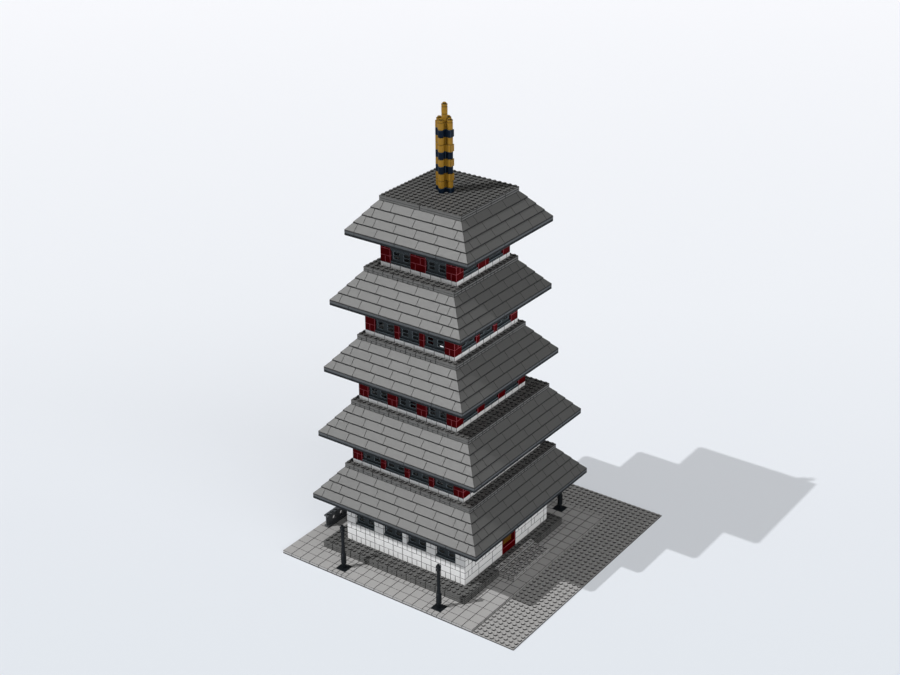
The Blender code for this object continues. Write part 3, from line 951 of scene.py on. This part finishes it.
@cache
def lattice_mould():
    right = PANEL_LONG * STUD - HALF_SLIT
    high = PANEL_PLATES * PLATE
    back = WEB_FRONT + WEB_THICK / 2 + RAIL_DEEP / 2
    base = ((HALF_SLIT, HALF_SLIT, 0), (right, STUD - HALF_SLIT, BASE_HIGH))
    rail = ((HALF_SLIT, back - RAIL_DEEP, high - RAIL_HIGH), (right, back, high))
    parts = [slotted_web(BASE_HIGH - SLIT, high - RAIL_HIGH + SLIT)]
    parts += [block(*box, "lattice", LATTICE_CHAMFER) for box in (base, rail)]
    panel = join_all("panel", parts)
    print("a lattice panel has", len(panel.data.polygons), "faces")
    return as_mould(panel, "lattice")


def panel_pair(x, y, sill):
    """Two panels, one on top of the other."""
    return [set_down(lattice_mould(), x, y, sill + row * PANEL_PLATES) for row in (0, 1)]


def bay_panels(low, bays, sill):
    """A pair of panels in each bay of a side, laid as the front one."""
    panels = []
    at = low
    for index, width in enumerate(bays):
        if index % 2:
            panels += panel_pair(at, low, sill)
        at += width
    return panels


# %% Ground windows
def finish_window(place, panels, turns):
    """Joins the panels of a side, turns them to their place and finishes them."""
    piece = turn_round(join_all(f"ground_lattices_{place}", panels), turns, ground_middle)
    finish_piece(piece, "lattice", f"ground_windows_{place}")


for place, turns in (("front", 0), ("back", 2), ("left", 3)):
    finish_window(place, bay_panels(ground_low, GROUND_BAYS, SILL), turns)
for place, bay in (("right_front", 1), ("right_back", 5)):
    at = ground_low + sum(DOOR_SIDE_BAYS[:bay])
    finish_window(place, panel_pair(at, ground_low, SILL), 1)

# %% [markdown]
# The door stands in a frame four studs wide and six bricks high: two posts and a head on a red
# threshold brick. The leaf starts as a slab with its hinge edge rounded. It is cut into four
# rows of two, and each of them is sunk on both sides by two insets. It turns on two pins at the
# frame's back post.

# %% Door frame
JAMB = 0.0024
HEAD = 0.0032
FRAME_CHAMFER = 0.0002
frame_low, frame_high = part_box("door_frame")
threshold_top = level(PLINTH_TOP + BRICK)


def door_frame():
    near, far = frame_low.y + HALF_SLIT, frame_high.y - HALF_SLIT
    foot, head = threshold_top, frame_high.z
    sections = (
        (near, level(PLINTH_TOP), far, foot, CHAMFER),
        (near, foot, near + JAMB, head, FRAME_CHAMFER),
        (far - JAMB, foot, far, head, FRAME_CHAMFER),
        (near + JAMB, head - HEAD, far - JAMB, head, FRAME_CHAMFER),
    )
    parts = []
    for y_low, z_low, y_high, z_high, width in sections:
        corners = ((frame_low.x, y_low, z_low), (frame_high.x, y_high, z_high))
        parts.append(block(*corners, "red", width))
    return join_all("door_frame_and_threshold", parts)


finish_piece(door_frame(), "red", "door_frame")

# %% Door leaf
LEAF_THICK = 0.0024
HINGE_ROUNDING = 0.49
PANEL_ROWS = 4
PANEL_BORDER = 0.0022
PANEL_SINK = 0.0005
FLAT = 0.99
PIN_RADIUS = 0.0007
PIN_LONG = 0.0014
PIN_SIDES = 12
ROD_EDGE = 0.2
KNOB_RADIUS = 0.0012
KNOB_FROM_EDGE = 0.0045
KNOB_SHARE_UP = 0.45
leaf_low, leaf_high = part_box("door_leaf")
leaf_foot = leaf_low.z + PIN_LONG
leaf_head = leaf_high.z - PIN_LONG
pin_x = leaf_low.x + LEAF_THICK / 2
pin_y = leaf_high.y - LEAF_THICK / 2


def up_leaf(share):
    """A height on the leaf, as a share of its own height."""
    return leaf_foot + (leaf_head - leaf_foot) * share


def leaf_board():
    """The board: its hinge edge rounded, each face cut into panels that are then sunk."""
    low = Vector((leaf_low.x, leaf_low.y, leaf_foot))
    high = Vector((leaf_low.x + LEAF_THICK, leaf_high.y, leaf_head))
    board = slab(low, high, "brown")

    def at_hinge(edge):
        ends = ends_of(board, edge)
        return min(end.y for end in ends) > high.y - SLIT and ends[0].x == ends[1].x

    pick(board, "EDGE", at_hinge)
    break_edges(LEAF_THICK * HINGE_ROUNDING, 4, OWN_MATERIAL)
    for row in range(1, PANEL_ROWS):
        cut_across(board, (0, 0, up_leaf(row / PANEL_ROWS)), (0, 0, 1))
    cut_across(board, (0, (low.y + pin_y) / 2, 0), (0, 1, 0))
    pick(board, "FACE", lambda face: abs(face.normal.x) > FLAT)
    bpy.ops.mesh.inset(thickness=PANEL_BORDER, use_individual=True)
    bpy.ops.mesh.inset(thickness=PANEL_SINK, depth=-PANEL_SINK, use_individual=True)
    leave_edit()
    return board


def rod(radius, low, high, paint, rotation=(0, 0, 0)):
    """A short round rod between two places, with a broken edge at both ends."""
    low, high = Vector(low), Vector(high)
    long = (high - low).length
    along = (high - low).normalized()
    part = cylinder(radius, long, (low + high) / 2, paint, PIN_SIDES, rotation)

    def at_end(edge):
        ends = [end.dot(along) for end in ends_of(part, edge)]
        return abs(ends[0] - ends[1]) < long / 2

    pick(part, "EDGE", at_end)
    break_edges(radius * ROD_EDGE)
    return part


def door_leaf():
    ends = ((leaf_low.z, leaf_foot + SLIT), (leaf_head - SLIT, leaf_high.z))
    pins = [rod(PIN_RADIUS, (pin_x, pin_y, z0), (pin_x, pin_y, z1), "brown") for z0, z1 in ends]
    knob_y, knob_z = leaf_low.y + KNOB_FROM_EDGE, up_leaf(KNOB_SHARE_UP)
    inner, outer = (pin_x, knob_y, knob_z), (leaf_high.x, knob_y, knob_z)
    knob = rod(KNOB_RADIUS, inner, outer, "gold", (0, math.pi / 2, 0))
    return join_all("door_leaf_panelled", [leaf_board(), knob] + pins)


finish_piece(door_leaf(), "brown", "door_leaf", body="door")

# %% [markdown]
# A roof is laid from sloping bricks. Each is two studs deep and one brick high, cut from a small
# lip at its outer foot up to the foot of the next row. A corner brick is cut twice, and its
# two slopes meet in the hip. Every row sits one stud further in than the row below. The lip's
# face is painted dark in the line material, a painted shade that makes the thin dark line under
# each row, and the chamfers draw the joints between the bricks of a row.

# %% Sloping bricks
SLOPE_LIP = 0.0012
SLOPE_RISE = BRICK * PLATE - SLOPE_LIP
SLOPE_CHAMFER = 0.00030
TO_FRONT = (1,)
TO_FRONT_AND_LEFT = (1, 0)
HIP = 2


@cache
def slope_mould(long, axes=TO_FRONT):
    """A brick cut by a plane through its lip, once for each axis that it slopes down along."""
    low = Vector((HALF_SLIT, HALF_SLIT, 0))
    size = Vector((long * STUD - SLIT, 2 * STUD - SLIT, BRICK * PLATE))
    brick = slab(low, low + size, "roof_grey")
    lip = (HALF_SLIT, HALF_SLIT, SLOPE_LIP)
    for axis in axes:
        normal = Vector((0, 0, STUD))
        normal[axis] = -SLOPE_RISE
        cut_across(brick, lip, normal.normalized(), use_fill=True, clear_outer=True)
    # The lip's face is painted dark: painted shade at the foot of the row.
    line_faces(brick, lambda face: min(face.normal[axis] for axis in axes) < -NEARLY_ALL)
    chamfer_all(brick, SLOPE_CHAMFER)
    return as_mould(brick, f"slope_{long}_{len(axes)}")


def slope_row(low, high, height, short_first):
    """One row of a roof's side: the hip at its left corner, then bricks up to the next hip."""
    laid = [set_down(slope_mould(HIP, TO_FRONT_AND_LEFT), low, low, height)]
    studs = high - low - 2 * HIP
    runs = [(2, 1)] + fill(studs - 2, (4, 2)) if short_first else fill(studs, (4, 2))
    at = low + HIP
    for long, count in runs:
        first = set_down(slope_mould(long), at, low, height)
        laid.append(repeat(first, (long * STUD, 0, 0), count))
        at += long * count
    return laid


# %% Roofs
SLOPE_ROWS = 4
EAVE_RIM = 6

for number in range(1, 6):
    low, high, base, _ = plan_of(f"eave_plate_{number}")
    middle = (low + high) / 2
    plates = ring_side(low, high, base, EAVE_RIM, "slate", LONG_PLATES)
    eave = all_round(f"eave_plates_{number}", plates, middle)
    finish_piece(eave, "slate", f"eave_plate_{number}")
    rows = ring_side(low, high, base + 1, EAVE_RIM, "eave_grey", LONG_PLATES, True)
    for row in range(SLOPE_ROWS):
        place = (low + row, high - row, base + 2 + BRICK * row)
        rows += slope_row(*place, row % 2 == 1)
    finish_piece(all_round(f"roof_bricks_{number}", rows, middle), "roof_grey", f"roof_{number}")

# %% [markdown]
# On each roof lies a ledge of dark plates with studs, then a white sill two plates high, and on
# it the red pillars with the lattice panels between them. The sill's joints come every two
# studs, and its four sides chase each other round the corners.

# %% Ledges
LEDGE_RIM = 4
for number in range(1, 5):
    low, high, bottom, top = plan_of(f"ledge_{number}")
    middle = (low + high) / 2
    sides = []
    for layer in range(bottom, top):
        sides += ring_side(low, high, layer, LEDGE_RIM, "dark_grey", SHORT_PLATES[layer % 2])
    ledge = all_round("ledge", sides, middle)
    wall = plan_of(f"storey_{number + 1}_wall")[:2]
    parts = [ledge] + stud_frame((low, high), wall, top, "dark_grey")
    finish_piece(join_all(f"ledge_plates_{number}", parts), "dark_grey", f"ledge_{number}")

# %% Upper storeys
SILL_PLATES = 2
UPPER_BAYS = (
    (2, 4, 1, 4, 1, 4, 1, 4, 2),
    (2, 4, 2, 4, 2, 4, 2),
    (2, 4, 1, 4, 1, 4, 2),
    (2, 4, 3, 4, 2),
)

for number, bays in enumerate(UPPER_BAYS, 2):
    low, high, foot, top = plan_of(f"storey_{number}_wall")
    middle = (low + high) / 2
    sill = foot + SILL_PLATES
    row = lay(low, low, foot, fill(high - low - 1, (2, 1)), 1, SILL_PLATES, "white")
    finish_piece(all_round(f"storey_{number}_sill", row, middle), "white", f"storey_{number}_wall")

    pillars = []
    for turned in (0, 1):
        parts = pillar_courses(low, bays, sill, top, 1 - turned, "red")
        side = join_all("pillar_side", parts)
        opposite = copy_of(side)
        pillars += [turn_round(side, turned, middle), turn_round(opposite, turned + 2, middle)]
    finish_piece(join_all(f"storey_{number}_pillars", pillars), "red", f"storey_{number}_wall")

    lattices = all_round(f"storey_{number}_lattices", bay_panels(low, bays, sill), middle)
    finish_piece(lattices, "lattice", f"storey_{number}_windows")

# %% [markdown]
# The top roof is closed by a studded deck, and on it stands the finial: four columns of small
# round bricks round a taller one. Long bricks tie them together: one of two studs, and in every
# other course one of three, so those courses look square from the side. Navy courses mark the
# height, and the four outer columns end in a round plate with its stud.

# %% Deck
deck_low, deck_high, deck_bottom, deck_top = plan_of("roof_deck")
DECK_ROW = 4
FINIAL = (20, 20)
deck_wide = deck_high - deck_low
deck = []
for layer in range(deck_bottom, deck_top):
    row = lay(deck_low, deck_low, layer, fill(deck_wide), DECK_ROW, 1, "dark_grey")
    deck.append(repeat(join_all("row", row), (0, DECK_ROW * STUD, 0), deck_wide // DECK_ROW))
x, y = FINIAL
hole = (x - 1, x + 2)
deck += stud_frame((deck_low, deck_high), hole, deck_top, "dark_grey")
corner = set_down(stud_mould("dark_grey"), x - 1, y - 1, deck_top)
repeat(corner, (2 * STUD, 0, 0), 2)
repeat(corner, (0, 2 * STUD, 0), 2)
finish_piece(join_all("deck_plates", deck + [corner]), "dark_grey", "roof_deck")

# %% Finial
ROUND_RADIUS = 0.0039
ROUND_FOOT_RADIUS = 0.0033
ROUND_FOOT_HIGH = 0.0012
ROUND_SIDES = 20
FIRST_COURSE = 2
COURSES = ("navy", "gold", "gold", "navy", "gold", "navy", "gold", "gold", "navy", "gold")
OUTER = ((-1, 0), (1, 0), (0, -1), (0, 1))
SPIRE_COURSES = 2


@cache
def round_mould(plates, paint):
    """A round brick with a narrower foot, made by shrinking its lowest ring."""
    high = plates * PLATE
    brick = cylinder(ROUND_RADIUS, high, (STUD / 2, STUD / 2, high / 2), paint, ROUND_SIDES)
    middle = (STUD / 2, STUD / 2, ROUND_FOOT_HIGH)
    cut_across(brick, middle, (0, 0, 1))
    shrink = ROUND_FOOT_RADIUS / ROUND_RADIUS
    pick(brick, "EDGE", lambda edge: max(heights(brick, edge)) < ROUND_FOOT_HIGH / 2)
    bpy.ops.transform.resize(value=(shrink, shrink, 1), center_override=middle)
    leave_edit()
    pick(brick, "EDGE", lambda edge: min(heights(brick, edge)) > high / 2)
    break_edges(CHAMFER)
    return as_mould(brick, f"round_{plates}_{paint}")


finial = {"gold": [], "navy": []}


def put(paint, mould, at, height):
    """Sets a part of the finial down, some studs away from its middle."""
    finial[paint].append(set_down(mould, x + at[0], y + at[1], height))


height = deck_top
for index, paint in enumerate(COURSES):
    plates = BRICK if index else FIRST_COURSE
    tie, rounds = (2, OUTER[1:]) if index % 2 else (3, OUTER[2:])
    put(paint, brick_mould(tie, 1, plates, paint), OUTER[0], height)
    for at in rounds:
        put(paint, round_mould(plates, paint), at, height)
    height += plates
tips = [(at, height) for at in OUTER]
for _ in range(SPIRE_COURSES):
    put("gold", round_mould(BRICK, "gold"), (0, 0), height)
    height += BRICK
for at, tip in tips + [((0, 0), height)]:
    put("gold", round_mould(1, "gold"), at, tip)
    put("gold", stud_mould("gold"), at, tip + 1)
print("the finial ends", height + 1 - deck_top, "plates above the deck")
columns = [f"finial_column_{side}" for side in ("front", "back", "left", "right")]
finish_piece(join_all("finial_gold", finial["gold"]), "gold", *columns, "finial_spire")
finish_piece(join_all("finial_navy", finial["navy"]), "navy", *columns)

# %% [markdown]
# Four lamp posts stand on the paving. Each has a flat square foot and a turned post: a thicker
# lower part, a slim shaft and two beads at the head. The post grows out of a flat disc: we
# extrude it up ring by ring, and resize each new ring to the post's width at that height.

# %% Lamp posts
LAMP_SIDES = 16
LAMP_OUTLINE = (
    (0.0025, 0.0000), (0.0025, 0.0060), (0.0037, 0.0075), (0.0037, 0.0215),
    (0.0027, 0.0225), (0.0027, 0.0260), (0.0024, 0.0270), (0.0024, 0.0550),
    (0.0017, 0.0560), (0.0033, 0.0575), (0.0033, 0.0595), (0.0020, 0.0608),
    (0.0035, 0.0625), (0.0035, 0.0645), (0.0019, 0.0655), (0.0019, 0.0672),
)


def turned_post():
    """A post on the Z axis that grows ring by ring through the outline's points."""
    deselect_all()
    radius, height = LAMP_OUTLINE[0]
    bpy.ops.mesh.primitive_circle_add(
        vertices=LAMP_SIDES, radius=radius, fill_type="NGON", location=(0, 0, height)
    )
    post = just_added("slate")
    edit(post)
    for next_radius, next_height in LAMP_OUTLINE[1:]:
        rise = {"value": (0, 0, next_height - height)}
        bpy.ops.mesh.extrude_region_move(TRANSFORM_OT_translate=rise)
        grow = next_radius / radius
        bpy.ops.transform.resize(value=(grow, grow, 1), center_override=(0, 0, next_height))
        radius, height = next_radius, next_height
    bpy.ops.mesh.select_all(action="SELECT")
    bpy.ops.mesh.normals_make_consistent(inside=False)
    leave_edit()
    return post


SMOOTH_BELOW = math.radians(30)
for number, (x, y) in enumerate(LAMPS, 1):
    post = turned_post()
    only(post)
    bpy.ops.object.shade_smooth_by_angle(angle=SMOOTH_BELOW)
    post.location = (across(x), across(y), level(1))
    foot = set_down(brick_mould(2, 2, 1, "slate"), x - 1, y - 1, 0)
    finish_piece(join_all(f"lamp_{number}", [foot, post]), "slate", f"lamp_post_{number}")

# %% [markdown]
# At the left side stands a low fence, open to both sides. It has a foot and a rail as wide as a
# stud, and a thin web between them with round holes. The holes are drilled as on a bench: three
# round cutters, made by an Array, are taken away from the web by a Boolean. The cutters' sides
# carry the dark line material, so the walls of the holes are painted dark, a painted shade.

# %% Fence
FENCE_RAIL = 0.0024
FENCE_WEB = 0.0024
FENCE_HOLE_RADIUS = 0.0032
FENCE_HOLE_UP = 0.0092
FENCE_HOLE_APART = 2
fence_low, fence_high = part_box("lattice_fence")
fence_x = plan_of("lattice_fence")[0]
fence_y = round((fence_low.y - base_low.y) / STUD)
fence_long = round((fence_high.y - fence_low.y) / STUD)
fence_middle = across(fence_x + 0.5)
fence_foot = level(1)
fence_head = fence_foot + PANEL_PLATES * PLATE


def fence_web():
    """The thin web, with its row of holes drilled by a Boolean."""
    reach = FENCE_WEB / 2
    low = (fence_middle - reach, fence_low.y, fence_foot + FENCE_RAIL - SLIT)
    high = (fence_middle + reach, fence_high.y, fence_head - FENCE_RAIL + SLIT)
    web = block(low, high, "eave_grey", LATTICE_CHAMFER)
    first = (fence_middle, across(fence_y + FENCE_HOLE_APART), fence_foot + FENCE_HOLE_UP)
    turn = (0, math.pi / 2, 0)
    drill = cylinder(FENCE_HOLE_RADIUS, STUD, first, "eave_grey", STUD_SIDES, turn)
    # The cutters' sides are painted dark, so the holes' walls get painted shade.
    line_faces(drill, lambda face: abs(face.normal.x) < NEARLY_NONE)
    repeat(drill, (0, FENCE_HOLE_APART * STUD, 0), fence_long // FENCE_HOLE_APART - 1)
    only(web)
    cut = web.modifiers.new("holes", "BOOLEAN")
    cut.operation = "DIFFERENCE"
    cut.object = drill
    bpy.ops.object.modifier_apply(modifier=cut.name)
    bpy.data.objects.remove(drill)
    return web


low_corner = Vector((fence_low.x, fence_low.y, fence_foot))
high_corner = Vector((fence_high.x, fence_high.y, fence_head))
rise = Vector((0, 0, fence_head - fence_foot - FENCE_RAIL))
fence = [
    fence_web(),
    block(low_corner, high_corner - rise, "eave_grey"),
    block(low_corner + rise, high_corner, "eave_grey"),
    stud_field(fence_x, fence_y, fence_x + 1, fence_y + fence_long, 1 + PANEL_PLATES, "eave_grey"),
]
finish_piece(join_all("fence_panels", fence), "eave_grey", "lattice_fence")

# %% [markdown]
# The moulds have done their work and are put away, so that only laid bricks are left.

# %% Put the moulds away
for mould in moulds:
    bpy.data.objects.remove(mould)
